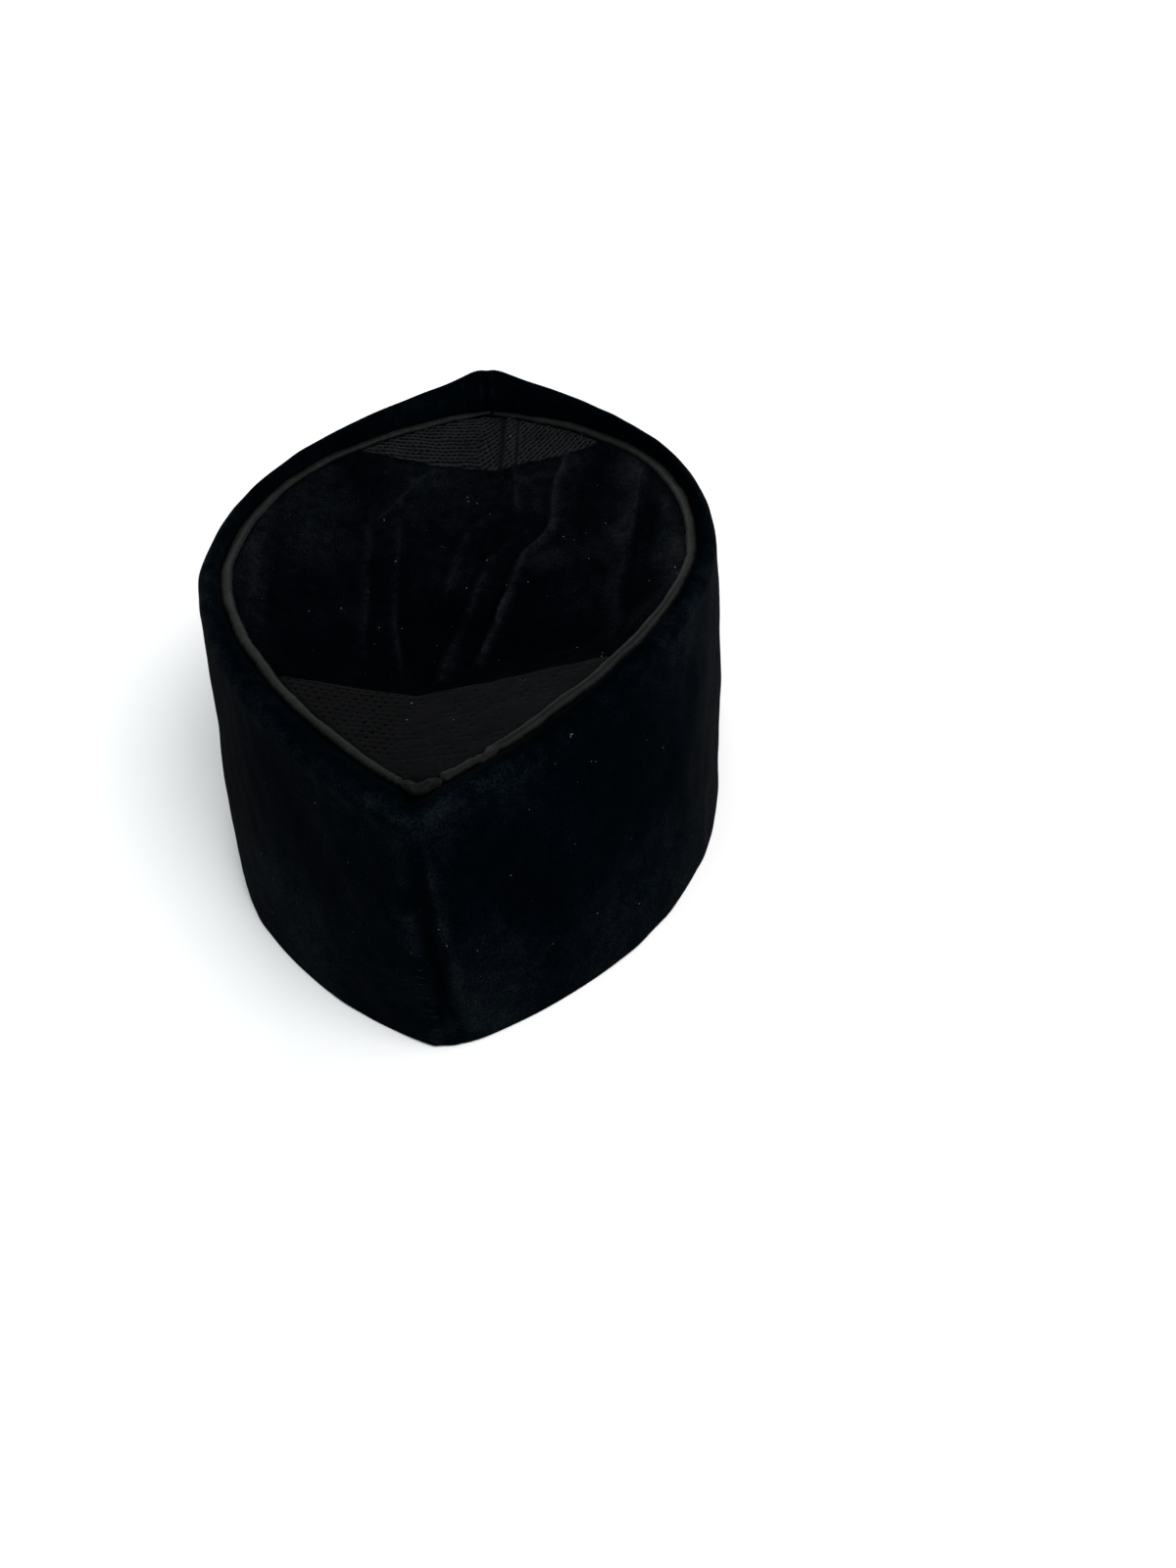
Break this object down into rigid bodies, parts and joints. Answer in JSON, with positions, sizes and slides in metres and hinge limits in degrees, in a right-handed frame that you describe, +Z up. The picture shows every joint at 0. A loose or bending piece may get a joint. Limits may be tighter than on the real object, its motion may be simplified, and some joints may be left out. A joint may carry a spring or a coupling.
{
  "type": "chieftaincy cap",
  "caption": "Tall boat-shaped velvet cap with a padded band folded in at the top, a sunken folded crown, net vents at the ends and satin piping.",
  "frame": {"origin": "centre of the rim's box, on the surface that the rim stands on", "axes": "+Z up, -Y towards the front seam, +Y towards the back seam, +X towards the wearer's left"},
  "size_m": [0.1582, 0.2504, 0.0789],
  "materials": {
    "velvet_band": "black cotton velvet with a short pile",
    "velvet_crown": "black cotton velvet with a short pile, creased",
    "knitted_net": "matt charcoal warp-knitted net with pinholes",
    "satin_piping": "dark grey satin bias piping over a cord"
  },
  "bodies": {
    "root": {"side_panel_left": "velvet_band", "side_panel_right": "velvet_band", "crown_panel": "velvet_crown", "front_vent": "knitted_net", "back_vent": "knitted_net", "piping_left": "satin_piping", "piping_right": "satin_piping"}
  },
  "joints": []
}
